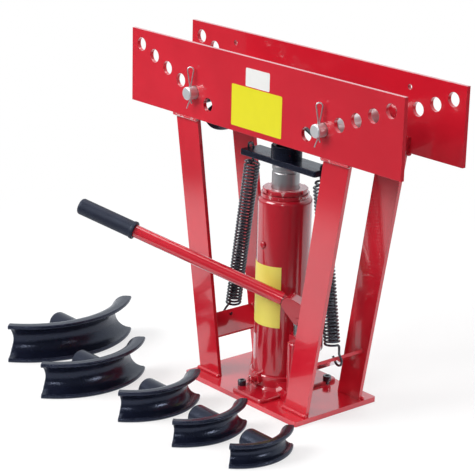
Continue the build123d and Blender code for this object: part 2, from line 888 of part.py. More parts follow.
def clip(side):
    """A bent wire clip: loop above the pin, both legs through its cross hole."""
    leg_x = clip_wire + clip_leg_gap / 2
    loop_x = clip_loop_width / 2 - clip_wire
    plane = Plane(
        origin=(side * roller_x, clip_y, roller_z), x_dir=(1, 0, 0), z_dir=(0, -1, 0)
    )
    with BuildPart() as wire:
        with BuildLine(plane) as path:
            l1 = Line((-leg_x - 4.0, -clip_tail), (-leg_x, -clip_loop_root))
            l2 = Line(l1 @ 1, (-leg_x, clip_loop_root))
            l3 = Line(l2 @ 1, (-loop_x, clip_loop_top - loop_x - clip_wire))
            l4 = ThreePointArc(
                l3 @ 1,
                (0, clip_loop_top - clip_wire),
                (loop_x, clip_loop_top - loop_x - clip_wire),
            )
            l5 = Line(l4 @ 1, (leg_x, clip_loop_root))
            l6 = Line(l5 @ 1, (leg_x, -clip_loop_root))
            Line(l6 @ 1, (leg_x + 1.5, -clip_loop_root - 4.0))
        with BuildSketch(Plane(origin=path.line @ 0, z_dir=path.line % 0)):
            Circle(clip_wire)
        sweep(transition=Transition.ROUND)
    return wire


finish(clip(-1), "clip_left")
finish(clip(1), "clip_right")

# Return springs: each end stands square through its hole and bends onto the
# leaning spring axis, then swings out to the coil
brace_normal = (-sin(radians(brace_tilt)), cos(radians(brace_tilt)))
low_stand = brace_thickness / 2 + 2 * wire_radius
high_stand = 2 * wire_radius
low_bend = (hook_x + brace_normal[0] * low_stand, hook_z + brace_normal[1] * low_stand)
high_bend = (spring_hole_x, ram_top - high_stand)


def lean_after_bends():
    """Lean of the spring axis when both end bends are counted, in radians."""
    lean = 0.0
    for _ in range(20):
        low = bend_shift(radians(brace_tilt), lean)
        high = bend_shift(0.0, lean)
        start = (low_bend[0] + low[0], low_bend[1] + low[1])
        end = (high_bend[0] - high[0], high_bend[1] - high[1])
        lean = atan2(start[0] - end[0], end[1] - start[1])
    return lean, start, end


def bend_shift(first, last, share=1.0):
    """Step in x and z along an arc from one lean to a share of the way to another."""
    turn = (last - first) * share
    sign = 1.0 if last > first else -1.0
    return (
        sign * spring_bend * (cos(first + turn) - cos(first)),
        sign * spring_bend * (sin(first + turn) - sin(first)),
    )


spring_lean, spring_start, spring_end = lean_after_bends()
spring_span = hypot(spring_end[0] - spring_start[0], spring_end[1] - spring_start[1])
coil_span = spring_span - spring_lead_low - spring_lead_high - 2 * spring_bend
coil_pitch = coil_span / spring_turns


def spring_point(side, across, forward, along):
    """Point at a place across, forward of and along the leaning spring axis."""
    return (
        side
        * (
            spring_start[0]
            - along * sin(spring_lean)
            + across * cos(spring_lean)
        ),
        forward,
        spring_start[1] + along * cos(spring_lean) + across * sin(spring_lean),
    )


def upright_point(side, place):
    """Point in the upright plane through both spring ends."""
    return (side * place[0], 0, place[1])


def return_spring(side):
    """One unbroken spring wire from the brace hole to the crossbar hole."""
    b = spring_bend
    r = spring_radius
    half = sqrt(0.5)
    tip_low = -brace_thickness / 2 - spring_tip
    low_mid = bend_shift(radians(brace_tilt), spring_lean, 0.5)
    high_mid = bend_shift(0.0, spring_lean, 0.5)
    high_all = bend_shift(0.0, spring_lean)
    coil_low = spring_lead_low + b
    coil_high = coil_low + coil_span
    with BuildPart() as spring:
        with BuildLine() as path:
            Line(
                upright_point(
                    side,
                    (hook_x + brace_normal[0] * tip_low, hook_z + brace_normal[1] * tip_low),
                ),
                upright_point(side, low_bend),
            )
            ThreePointArc(
                upright_point(side, low_bend),
                upright_point(side, (low_bend[0] + low_mid[0], low_bend[1] + low_mid[1])),
                upright_point(side, spring_start),
            )
            Line(spring_point(side, 0, 0, 0), spring_point(side, 0, 0, spring_lead_low))
            ThreePointArc(
                spring_point(side, 0, 0, spring_lead_low),
                spring_point(side, 0, -b * (1 - half), spring_lead_low + b * half),
                spring_point(side, 0, -b, coil_low),
            )
            ThreePointArc(
                spring_point(side, 0, -b, coil_low),
                spring_point(side, r / 2, -b - r / 2, coil_low),
                spring_point(side, r, -b, coil_low),
            )
            Line(spring_point(side, r, -b, coil_low), spring_point(side, r, 0, coil_low))
            for k in range(2 * spring_turns):
                facing = 1 if k % 2 == 0 else -1
                low = coil_low + k * coil_pitch / 2
                ThreePointArc(
                    spring_point(side, facing * r, 0, low),
                    spring_point(side, 0, facing * hypot(r, coil_pitch / 4), low + coil_pitch / 4),
                    spring_point(side, -facing * r, 0, low + coil_pitch / 2),
                )
            Line(spring_point(side, r, 0, coil_high), spring_point(side, r, b, coil_high))
            ThreePointArc(
                spring_point(side, r, b, coil_high),
                spring_point(side, r / 2, b + r / 2, coil_high),
                spring_point(side, 0, b, coil_high),
            )
            ThreePointArc(
                spring_point(side, 0, b, coil_high),
                spring_point(side, 0, b * (1 - half), coil_high + b * (1 - half)),
                spring_point(side, 0, 0, coil_high + b),
            )
            Line(spring_point(side, 0, 0, coil_high + b), upright_point(side, spring_end))
            ThreePointArc(
                upright_point(side, spring_end),
                upright_point(
                    side,
                    (
                        spring_end[0] + high_all[0] - high_mid[0],
                        spring_end[1] + high_all[1] - high_mid[1],
                    ),
                ),
                upright_point(side, high_bend),
            )
            Line(
                upright_point(side, high_bend),
                (side * spring_hole_x, 0, crossbar_top + spring_tip),
            )
        with BuildSketch(Plane(origin=path.line @ 0, z_dir=path.line % 0)):
            Circle(wire_radius)
        sweep()
    return spring, path.wire()


def self_gap(path):
    """Least gap between turns of a wound wire, measured on points of its path."""
    step = 1.5
    count = int(path.length / step)
    points = [path.position_at(i / count) for i in range(count + 1)]
    skip = int(12.0 / step)
    reach = int(4 * pi * spring_radius / step)
    least = min(
        (points[i] - points[j]).length
        for i in range(count + 1)
        for j in range(i + skip, min(i + reach, count + 1))
    )
    return least - 2 * wire_radius


for side, name in ((-1, "spring_left"), (1, "spring_right")):
    spring, path = return_spring(side)
    finish(spring, name)
    print(name, "least gap to itself", round(self_gap(path), 3), "mm")
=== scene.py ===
"""Looks of a hand-pumped pipe bender and its dies: finishes, welds, stickers, wires and studio."""

import json
import logging
from collections.abc import Sequence
from dataclasses import dataclass, field
from enum import Enum
from math import cos, pi, radians, sin, sqrt

import bpy
from mathutils import Matrix, Vector


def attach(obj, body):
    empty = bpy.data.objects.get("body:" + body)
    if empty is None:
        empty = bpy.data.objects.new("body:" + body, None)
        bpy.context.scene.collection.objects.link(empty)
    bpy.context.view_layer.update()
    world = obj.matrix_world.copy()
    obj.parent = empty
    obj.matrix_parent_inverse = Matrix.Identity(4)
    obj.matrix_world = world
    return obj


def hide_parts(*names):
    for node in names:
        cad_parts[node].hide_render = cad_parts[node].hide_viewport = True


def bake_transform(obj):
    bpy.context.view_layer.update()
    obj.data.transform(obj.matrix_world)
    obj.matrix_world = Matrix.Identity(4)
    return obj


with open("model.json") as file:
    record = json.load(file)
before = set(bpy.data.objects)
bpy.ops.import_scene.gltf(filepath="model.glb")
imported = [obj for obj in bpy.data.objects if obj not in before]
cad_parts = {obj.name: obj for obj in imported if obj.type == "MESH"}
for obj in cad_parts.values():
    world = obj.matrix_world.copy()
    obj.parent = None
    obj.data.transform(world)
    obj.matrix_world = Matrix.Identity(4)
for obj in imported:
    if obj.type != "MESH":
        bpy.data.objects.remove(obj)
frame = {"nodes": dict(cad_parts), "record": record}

log = logging.getLogger("pipe_bender")

MM = 0.001
MERGE = 0.005 * MM

Color = tuple[float, float, float]
Point = tuple[float, float, float]
Pair = tuple[float, float]
Material = bpy.types.Material
Piece = bpy.types.Object

WHITE: Color = (1.0, 1.0, 1.0)
# Red of the jack, darker than the frame's: partly its own deeper paint, partly painted shade for
# parts that sit in shade.
JACK_PAINT_AND_SHADE: tuple[Color, Color] = ((0.46, 0.008, 0.021), (0.39, 0.006, 0.016))
RAM_STREAKS: Point = (30.0, 30.0, 700.0)
PLUNGER_STREAKS: Point = (40.0, 40.0, 600.0)
EVEN_STREAKS: Point = (200.0, 200.0, 200.0)
SOFT = {"interpolation_type": "SMOOTHSTEP"}


class Half(Enum):
    """One half of the bender, its value the sign of that half along an axis."""

    @property
    def word(self) -> str:
        """The half's name as used in the names of nodes and pieces."""
        return self.name.lower()


class Side(Half):
    """The two sides of the bender as seen from the front."""

    LEFT = -1
    RIGHT = 1


class Row(Half):
    """The front and the back of the frame."""

    FRONT = -1
    BACK = 1


class SteelKind(Enum):
    """Bare steel: base grey, least roughness, its spread, and streak depth in millimetres."""

    CHROMED = (0.62, 0.26, 0.12, 0.02)
    TURNED = (0.58, 0.26, 0.16, 0.10)
    PLATED = (0.70, 0.20, 0.12, 0.03)
    # Darkened steel for the pump plunger: painted shade, as it sits in shade behind the leg.
    OILY = (0.26, 0.16, 0.14, 0.03)
    DRAWN = (0.84, 0.42, 0.14, 0.05)
    ZINC = (0.88, 0.30, 0.10, 0.02)


class Ray(Enum):
    """Rays that see the backdrop straight, in a mirror or through glass, by their outputs."""

    CAMERA = "Is Camera Ray"
    GLOSSY = "Is Glossy Ray"
    THROUGH = "Is Transmission Ray"


class Lamp(Enum):
    """Large soft lamps at front left and above, small ones for glints: place, side, watts."""

    KEY = ((-1.2, -2.5, 2.3), 1.9, 106.0)
    TOP = ((-0.3, 0.6, 3.0), 2.2, 38.0)
    SIDE = ((2.5, 1.0, 1.35), 0.6, 22.0)
    FRONT = ((1.35, -1.85, 1.6), 0.3, 7.0)


class Sock:
    """An output socket of a node graph whose arithmetic adds Math nodes."""

    def __init__(self, graph: "Graph", socket: bpy.types.NodeSocket) -> None:
        """Keep the graph that owns the socket, and the socket itself."""
        self.graph = graph
        self.socket = socket

    def math(self, operation: str, first: "Sock | float", second: "Sock | float") -> "Sock":
        """The value of a new Math node on two values."""
        settings = {"operation": operation}
        return self.graph.add("ShaderNodeMath", settings, {0: first, 1: second}, "Value")

    def __add__(self, other: "Sock | float") -> "Sock":
        """This value plus another."""
        return self.math("ADD", self, other)

    def __radd__(self, other: float) -> "Sock":
        """A number plus this value."""
        return self.math("ADD", other, self)

    def __sub__(self, other: "Sock | float") -> "Sock":
        """This value minus another."""
        return self.math("SUBTRACT", self, other)

    def __rsub__(self, other: float) -> "Sock":
        """A number minus this value."""
        return self.math("SUBTRACT", other, self)

    def __mul__(self, other: "Sock | float") -> "Sock":
        """This value times another."""
        return self.math("MULTIPLY", self, other)

    def __rmul__(self, other: float) -> "Sock":
        """A number times this value."""
        return self.math("MULTIPLY", other, self)


def rgba(color: Sock | Color) -> Sock | tuple[float, ...]:
    """A colour as a socket takes it: a link as it is, numbers with their alpha."""
    return color if isinstance(color, Sock) else (*color, 1.0)


class Graph:
    """The node graph of one material or of the world."""

    def __init__(
        self,
        name: str,
        home: bpy.types.bpy_prop_collection = bpy.data.materials,
        output: str = "ShaderNodeOutputMaterial",
    ) -> None:
        """Start an empty graph with an output node.

        Args:
            name: Name of the material or world.
            home: Blender's collection that it is made in.
            output: Type of the output node.
        """
        self.owner = home.new(name)
        self.owner.use_nodes = True
        self.tree = self.owner.node_tree
        self.tree.nodes.clear()
        self.output = self.tree.nodes.new(output)

    def add(self, kind: str, settings: dict, sockets: dict, output: str) -> Sock:
        """Add any node, set it up and link it.

        Args:
            kind: Blender's type name of the node.
            settings: Properties of the node, which are set first.
            sockets: Input sockets by name or number, each with a value or a linked socket.
            output: Name of the output socket that is wanted.

        Returns:
            The wanted output.
        """
        node = self.tree.nodes.new(kind)
        for key, value in settings.items():
            setattr(node, key, value)
        for key, value in sockets.items():
            if isinstance(value, Sock):
                self.tree.links.new(value.socket, node.inputs[key])
            else:
                node.inputs[key].default_value = value
        found = next(s for s in node.outputs if s.name == output and s.enabled)
        return Sock(self, found)

    def place(self, scale: Point = (1.0, 1.0, 1.0)) -> Sock:
        """Object coordinates in metres, stretched along each axis."""
        coords = self.add("ShaderNodeTexCoord", {}, {}, "Object")
        return self.add("ShaderNodeMapping", {}, {"Vector": coords, "Scale": scale}, "Vector")

    def noise(self, place: Sock, lumps: float, detail: float = 2.0, rough: float = 0.5) -> Sock:
        """Noise from 0 to 1 with so many lumps per metre, finer octaves and their weight."""
        sockets = {"Vector": place, "Scale": lumps, "Detail": detail, "Roughness": rough}
        return self.add("ShaderNodeTexNoise", {}, sockets, "Fac")

    def cells(self, place: Sock, points: float) -> Sock:
        """Distance to the nearest of so many scattered points per metre."""
        sockets = {"Vector": place, "Scale": points}
        return self.add("ShaderNodeTexVoronoi", {}, sockets, "Distance")

    def vector(self, operation: str, *vectors: Sock | Point) -> Sock:
        """The value of a new Vector Math node on one or two vectors."""
        sockets = dict(enumerate(vectors))
        return self.add("ShaderNodeVectorMath", {"operation": operation}, sockets, "Value")

    def ray(self, kind: Ray) -> Sock:
        """1 for rays of a kind and 0 for the rest."""
        return self.add("ShaderNodeLightPath", {}, {}, kind.value)

    def step(self, value: Sock, low: float, high: float) -> Sock:
        """A soft step from 0 where a value is low to 1 where it is high."""
        sockets = {"Value": value, "From Min": low, "From Max": high}
        return self.add("ShaderNodeMapRange", SOFT, sockets, "Result")

    def blend(self, share: Sock | float, first: Sock | Color, second: Sock | Color) -> Sock:
        """Two colours mixed by the share of the second one."""
        sockets = {0: share, 6: rgba(first), 7: rgba(second)}
        return self.add("ShaderNodeMix", {"data_type": "RGBA"}, sockets, "Result")

    def round_edges(self, radius: float, samples: int = 6) -> Sock:
        """Normals that round off sharp edges by a radius in metres."""
        return self.add("ShaderNodeBevel", {"samples": samples}, {"Radius": radius}, "Normal")

    def edges(self, soft: Sock, span: Pair = (0.02, 0.22)) -> Sock:
        """0 on faces, up to 1 along edges, where the rounded normals lean within a span."""
        true = self.add("ShaderNodeNewGeometry", {}, {}, "Normal")
        return self.step(1.0 - self.vector("DOT_PRODUCT", soft, true), *span)

    def bump(self, height: Sock, depth: float, strength: float, normal: Sock | None = None) -> Sock:
        """Bumps from a height value.

        Args:
            height: Height from 0 to 1.
            depth: Real height of 1 in metres.
            strength: Strength of the bumps.
            normal: Normals to start from, if any.

        Returns:
            The bumped normal.
        """
        sockets = {"Height": height, "Distance": depth, "Strength": strength}
        if normal is not None:
            sockets["Normal"] = normal
        return self.add("ShaderNodeBump", {}, sockets, "Normal")

    def surface(self, sockets: dict) -> Material:
        """Close the graph with a Principled shader of these values and links."""
        return self.close(self.add("ShaderNodeBsdfPrincipled", {}, sockets, "BSDF"))

    def mixed(self, share: Sock, first: Sock, second: Sock) -> Sock:
        """Two shaders mixed by the share of the second one."""
        return self.add("ShaderNodeMixShader", {}, {0: share, 1: first, 2: second}, "Shader")

    def close(self, shader: Sock) -> Material | bpy.types.World:
        """Link a shader to the output and return the material or world."""
        self.tree.links.new(shader.socket, self.output.inputs["Surface"])
        return self.owner


@dataclass(frozen=True)
class RedPaint:
    """Sprayed red gloss paint, a little uneven, paler on its edges (partly thinned paint, partly
    painted highlight) and with chips where asked.
    """

    name: str = "red_gloss_paint"
    color: Color = (0.62, 0.014, 0.030)
    deep: Color = (0.53, 0.010, 0.023)
    # Pale edge colour: partly thinned paint on the edges, partly painted highlight.
    worn_and_highlit: Color = (0.72, 0.16, 0.17)
    bare: Color = (0.62, 0.46, 0.46)
    wear_and_highlight: float = 0.35
    chips: float = 0.0
    chip_span: Pair = (0.64, 0.68)
    chip_share: float = 0.8
    drift_lumps: float = 7.0
    peel_lumps: float = 260.0
    rub_lumps: float = 240.0
    chip_lumps: float = 90.0
    edge_radius: float = 0.9 * MM
    peel_depth: float = 0.07 * MM
    peel_strength: float = 0.14
    least_rough: float = 0.13
    drift_rough: float = 0.08
    rub_rough: float = 0.14
    coat_rough: float = 0.04

    def build(self) -> Material:
        """Build the paint.

        Returns:
            The material.
        """
        g = Graph(self.name)
        place = g.place()
        drift = g.noise(place, self.drift_lumps, detail=3.0)
        peel = g.noise(place, self.peel_lumps)
        soft = g.round_edges(self.edge_radius)
        broken = g.noise(place, self.rub_lumps, detail=4.0, rough=0.6)
        # Edge mask for the pale edges: partly rubbed paint, partly painted highlight.
        rubbed = g.edges(soft) * g.step(broken, low=0.35, high=0.65)
        coat = g.blend(g.step(drift, low=0.3, high=0.75), self.deep, self.color)
        painted = g.blend(rubbed * self.wear_and_highlight, coat, self.worn_and_highlit)
        if self.chips > 0.0:
            flakes = g.noise(place, self.chip_lumps, detail=5.0, rough=0.65)
            bare = g.step(flakes, *(edge - self.chips for edge in self.chip_span))
            painted = g.blend(bare * self.chip_share, painted, self.bare)
        return g.surface({
            "Base Color": painted,
            "Roughness": self.least_rough + self.drift_rough * drift + self.rub_rough * rubbed,
            "Normal": g.bump(peel, self.peel_depth, self.peel_strength, soft),
            "Coat Weight": 1.0,
            "Coat Roughness": self.coat_rough,
        })


@dataclass(frozen=True)
class CastIron:
    """Black lacquered casting with sand grain, shallow dents, and pale blue edges that are partly
    rubbed and partly painted highlight.
    """

    name: str = "black_lacquered_casting"
    color: Color = (0.0040, 0.0050, 0.0105)
    dented: Color = (0.0080, 0.0100, 0.0230)
    # Pale blue edge colour: partly rubbed casting, partly painted highlight of the lit rims.
    rubbed: Color = (0.150, 0.170, 0.260)
    sheen: Color = (0.64, 0.73, 1.0)
    specular: float = 0.45
    grain_lumps: float = 420.0
    dent_lumps: float = 55.0
    pit_points: float = 260.0
    pit_size: float = 0.22
    rub_lumps: float = 130.0
    rub_share: float = 0.8
    edge_radius: float = 1.8 * MM
    grain_depth: float = 0.8 * MM
    grain_strength: float = 0.45
    grain_height: float = 0.5
    dent_height: float = 0.9
    pit_height: float = 0.25
    least_rough: float = 0.12
    dent_rough: float = 0.10
    grain_rough: float = 0.08

    def build(self) -> Material:
        """Build the casting.

        Returns:
            The material.
        """
        g = Graph(self.name)
        place = g.place()
        grain = g.noise(place, self.grain_lumps, detail=3.0, rough=0.6)
        dents = g.noise(place, self.dent_lumps, detail=3.0)
        pits = g.step(g.cells(place, self.pit_points), low=0.0, high=self.pit_size)
        soft = g.round_edges(self.edge_radius)
        broken = g.noise(place, self.rub_lumps, detail=4.0, rough=0.6)
        # Edge mask for the pale blue edges: partly rubbed casting, partly painted highlight.
        worn_and_highlit = g.edges(soft) * g.step(broken, low=0.3, high=0.7)
        lacquer = g.blend(dents, self.color, self.dented)
        height = self.grain_height * grain + self.dent_height * dents + self.pit_height * pits
        return g.surface({
            "Base Color": g.blend(worn_and_highlit * self.rub_share, lacquer, self.rubbed),
            "Roughness": self.least_rough + self.dent_rough * dents + self.grain_rough * grain,
            "Specular IOR Level": self.specular,
            "Specular Tint": rgba(self.sheen),
            "Normal": g.bump(height, self.grain_depth, self.grain_strength, soft),
        })


@dataclass(frozen=True)
class Steel:
    """Bare steel with turning streaks along one axis and fine rubbed marks."""

    name: str
    kind: SteelKind
    streaks: Point = (60.0, 900.0, 60.0)
    cloud_lumps: float = 40.0
    cloud_grey: float = 0.86
    cloud_rough: float = 0.5
    blue: float = 1.01
    streak_grey: float = 0.72
    streak_share: float = 0.35
    streak_strength: float = 0.25
    edge_radius: float = 0.5 * MM

    def build(self) -> Material:
        """Build the steel.

        Returns:
            The material.
        """
        grey, least, spread, depth = self.kind.value
        g = Graph(self.name)
        place = g.place()
        lines = g.noise(g.place(self.streaks), 1.0, detail=3.0, rough=0.6)
        cloud = g.noise(place, self.cloud_lumps, detail=3.0)
        soft = g.round_edges(self.edge_radius)
        shade = g.blend(cloud, (grey * self.cloud_grey,) * 3, (grey, grey, grey * self.blue))
        return g.surface({
            "Base Color": g.blend(
                self.streak_share * lines, shade, (grey * self.streak_grey,) * 3
            ),
            "Metallic": 1.0,
            "Roughness": least + spread * lines + self.cloud_rough * spread * cloud,
            "Normal": g.bump(lines, depth * MM, self.streak_strength, soft),
        })


@dataclass(frozen=True)
class OiledSteel:
    """Blued spring wire and screws: dark, oiled, brighter where rubbed."""

    name: str = "blued_oiled_steel"
    color: Color = (0.010, 0.011, 0.018)
    bright: Color = (0.045, 0.048, 0.066)
    sheen: Color = (0.82, 0.88, 1.0)
    specular: float = 0.7
    oil: float = 0.5
    oil_rough: float = 0.12
    smear_lumps: float = 120.0
    smear_rough: float = 0.14
    least_rough: float = 0.16
    grain_lumps: float = 1500.0
    grain_depth: float = 0.04 * MM
    grain_strength: float = 0.3

    def build(self) -> Material:
        """Build the blued steel.

        Returns:
            The material.
        """
        g = Graph(self.name)
        place = g.place()
        smear = g.noise(place, self.smear_lumps, detail=3.0)
        grain = g.noise(place, self.grain_lumps)
        return g.surface({
            "Base Color": g.blend(g.step(smear, low=0.45, high=0.8), self.color, self.bright),
            "Roughness": self.least_rough + self.smear_rough * smear,
            "Specular IOR Level": self.specular,
            "Specular Tint": rgba(self.sheen),
            "Coat Weight": self.oil,
            "Coat Roughness": self.oil_rough,
            "Normal": g.bump(grain, self.grain_depth, self.grain_strength),
        })


@dataclass(frozen=True)
class Rubber:
    """Matt black moulded rubber with a fine grain."""

    name: str = "black_moulded_rubber"
    color: Color = (0.012, 0.014, 0.026)
    bloomed: Color = (0.021, 0.025, 0.044)
    sheen: Color = (0.72, 0.82, 1.0)
    specular: float = 0.34
    bloom_lumps: float = 30.0
    bloom_rough: float = 0.18
    least_rough: float = 0.40
    grain_lumps: float = 900.0
    grain_depth: float = 0.12 * MM
    grain_strength: float = 0.4
    edge_radius: float = 0.8 * MM

    def build(self) -> Material:
        """Build the rubber.

        Returns:
            The material.
        """
        g = Graph(self.name)
        place = g.place()
        grain = g.noise(place, self.grain_lumps, detail=3.0, rough=0.6)
        bloom = g.noise(place, self.bloom_lumps, detail=3.0)
        soft = g.round_edges(self.edge_radius)
        return g.surface({
            "Base Color": g.blend(g.step(bloom, low=0.4, high=0.8), self.color, self.bloomed),
            "Roughness": self.least_rough + self.bloom_rough * bloom,
            "Specular IOR Level": self.specular,
            "Specular Tint": rgba(self.sheen),
            "Normal": g.bump(grain, self.grain_depth, self.grain_strength, soft),
        })


@dataclass(frozen=True)
class StickerFilm:
    """Sticker film, one plain colour with a faint mottle and soft gloss."""

    name: str
    color: Color
    fade: float = 0.93
    mottle_lumps: float = 60.0
    mottle_rough: float = 0.12
    least_rough: float = 0.34
    ripple_lumps: float = 25.0
    ripple_depth: float = 0.25 * MM
    ripple_strength: float = 0.2

    def build(self) -> Material:
        """Build the film.

        Returns:
            The material.
        """
        g = Graph(self.name)
        place = g.place()
        mottle = g.noise(place, self.mottle_lumps, detail=3.0)
        ripple = g.noise(place, self.ripple_lumps, detail=1.0)
        faded = tuple(c * self.fade for c in self.color)
        return g.surface({
            "Base Color": g.blend(mottle, faded, self.color),
            "Roughness": self.least_rough + self.mottle_rough * mottle,
            "Normal": g.bump(ripple, self.ripple_depth, self.ripple_strength),
        })


@dataclass(frozen=True)
class StudioFloor:
    """White floor that runs out into a dim room, seen straight as white with soft shadows."""

    name: str = "studio_white_floor"
    glow: float = 0.62
    glow_reach: Pair = (0.45, 1.2)
    glow_tint: Color = (0.88, 0.93, 1.0)
    turn: float = 49.55
    middle: Point = (-0.342, 0.292, 0.0)
    stretch: Point = (1.2, 1.0, 1.0)
    reach: Pair = (0.80, 1.10)
    paper: tuple[Color, Color] = ((0.90, 0.90, 0.905), (0.93, 0.93, 0.93))
    paper_lumps: float = 3.0
    room: Color = (0.09, 0.09, 0.10)

    def build(self) -> Material:
        """Build the floor.

        Returns:
            The material.
        """
        g = Graph(self.name)
        place = g.place()
        seen = g.ray(Ray.CAMERA)
        rays = seen + g.ray(Ray.GLOSSY) + g.ray(Ray.THROUGH)
        mirrored = rays.math("MINIMUM", rays, 1.0) - seen
        turn = (0.0, 0.0, radians(self.turn))
        oval = g.add(
            "ShaderNodeMapping",
            {"vector_type": "TEXTURE"},
            {"Vector": place, "Location": self.middle, "Rotation": turn, "Scale": self.stretch},
            "Vector",
        )
        bright = 1.0 - g.step(g.vector("LENGTH", oval), *self.reach)
        paper = g.blend(g.noise(place, self.paper_lumps), *self.paper)
        tone = g.blend(bright.math("MAXIMUM", bright, seen), self.room, paper)
        matt = g.add("ShaderNodeBsdfDiffuse", {}, {"Color": tone}, "BSDF")
        tint = g.blend(seen, self.glow_tint, WHITE)
        glow = g.add("ShaderNodeEmission", {}, {"Color": tint, "Strength": 1.0}, "Emission")
        away = g.step(g.vector("LENGTH", place), *self.glow_reach)
        straight = self.glow + (1.0 - self.glow) * away
        share = seen * straight + mirrored * bright * self.glow
        return g.close(g.mixed(share, matt, glow))


def deselect() -> None:
    """Leave edit mode and deselect everything."""
    if bpy.context.object is not None and bpy.context.object.mode != "OBJECT":
        bpy.ops.object.mode_set(mode="OBJECT")
    bpy.ops.object.select_all(action="DESELECT")


def take(piece: Piece) -> None:
    """Make a piece the only selected one.

    Args:
        piece: The piece.
    """
    deselect()
    piece.select_set(True)
    bpy.context.view_layer.objects.active = piece


def edit(piece: Piece) -> None:
    """Open a piece in edit mode with its whole mesh selected.

    Args:
        piece: The piece.
    """
    take(piece)
    bpy.ops.object.mode_set(mode="EDIT")
    bpy.ops.mesh.select_all(action="SELECT")


def close_edit() -> None:
    """Merge doubled corners of the selected mesh, turn its faces outward and leave edit mode."""
    bpy.ops.mesh.remove_doubles(threshold=MERGE)
    bpy.ops.mesh.normals_make_consistent(inside=False)
    bpy.ops.object.mode_set(mode="OBJECT")


def started(name: str) -> Piece:
    """Name the piece that was just added.

    Args:
        name: Name of the new piece.

    Returns:
        The piece.
    """
    piece = bpy.context.object
    piece.name = name
    piece.data.name = name
    return piece


def modify(piece: Piece, kind: str, settings: dict) -> None:
    """Add a modifier, set it up and apply it.

    Args:
        piece: The piece to change.
        kind: Type of the modifier.
        settings: Its properties.
    """
    take(piece)
    modifier = piece.modifiers.new(kind.lower(), kind)
    for key, value in settings.items():
        setattr(modifier, key, value)
    bpy.ops.object.modifier_apply(modifier=modifier.name)


def settle(piece: Piece, place: Matrix | None = None) -> None:
    """Move a piece to its place and put that place into its mesh.

    Args:
        piece: The finished piece.
        place: Where it goes, or None to keep it where it is.
    """
    take(piece)
    if place is not None:
        piece.matrix_world = place @ piece.matrix_world
    bpy.ops.object.transform_apply(location=True, rotation=True, scale=True)


def smooth(piece: Piece, angle: float) -> None:
    """Shade a piece smooth below an angle in degrees."""
    take(piece)
    bpy.ops.object.shade_smooth_by_angle(angle=radians(angle))


def copy_of(piece: Piece, name: str) -> Piece:
    """A copy of a piece with its own mesh.

    Args:
        piece: The piece to copy.
        name: Name of the copy.

    Returns:
        The copy.
    """
    take(piece)
    bpy.ops.object.duplicate(linked=False)
    return started(name)


def mirrored(piece: Piece, name: str, side: Side, row: Row) -> Piece:
    """A copy, with its own mesh, of a piece that was modelled at the right of the back.

    Args:
        piece: The piece to copy, in its place.
        name: Name of the copy.
        side: Side that the copy is for.
        row: Row that the copy is for.

    Returns:
        The copy, mirrored to its side and row, its faces outward.
    """
    twin = copy_of(piece, name)
    edit(twin)
    flip = (side.value, row.value, 1.0)
    bpy.ops.transform.resize(value=flip, center_override=(0.0, 0.0, 0.0))
    close_edit()
    return twin


def dress(piece: Piece, material: Material) -> None:
    """Give a piece or a CAD node one material.

    Args:
        piece: The piece or node.
        material: Its finish.
    """
    if piece.material_slots:
        for slot in piece.material_slots:
            slot.material = material
    else:
        piece.data.materials.append(material)


def spun(name: str, line: Sequence[Vector], steps: int, angle: float) -> Piece:
    """Extrude one corner along a line and spin that line about the Z axis.

    Args:
        name: Name of the piece.
        line: Corners of the line in millimetres.
        steps: Steps of the spin.
        angle: Angle of the spin in radians.

    Returns:
        The spun piece.
    """
    deselect()
    bpy.ops.mesh.primitive_plane_add(size=MM)
    piece = started(name)
    edit(piece)
    bpy.ops.mesh.merge(type="CENTER")
    bpy.ops.transform.translate(value=line[0] * MM)
    for here, there in zip(line, line[1:]):
        way = {"value": (there - here) * MM}
        bpy.ops.mesh.extrude_region_move(TRANSFORM_OT_translate=way)
    bpy.ops.mesh.select_all(action="SELECT")
    bpy.ops.mesh.spin(steps=steps, angle=angle, center=(0, 0, 0), axis=(0, 0, 1))
    bpy.ops.mesh.select_all(action="SELECT")
    close_edit()
    return piece


def wire_along(name: str, points: Sequence[Vector], radius: float, sides: int = 10) -> Piece:
    """A round wire along a line of points.

    Args:
        name: Name of the piece.
        points: The middle line, in millimetres.
        radius: Radius of the wire in millimetres.
        sides: Sides of the wire's section, an even number.

    Returns:
        The wire as a mesh.
    """
    line = [p * MM for p in points]
    curve = bpy.data.curves.new(name, "CURVE")
    curve.dimensions = "3D"
    curve.twist_mode = "MINIMUM"
    curve.bevel_depth = radius * MM
    curve.bevel_resolution = sides // 2 - 2
    curve.use_fill_caps = True
    spline = curve.splines.new("POLY")
    spline.points.add(len(line) - 1)
    for knot, place in zip(spline.points, line):
        knot.co = (*place, 1.0)
    piece = bpy.data.objects.new(name, curve)
    bpy.context.scene.collection.objects.link(piece)
    take(piece)
    bpy.ops.object.convert(target="MESH")
    piece = started(name)
    edit(piece)
    close_edit()
    smooth(piece, 60.0)
    return piece


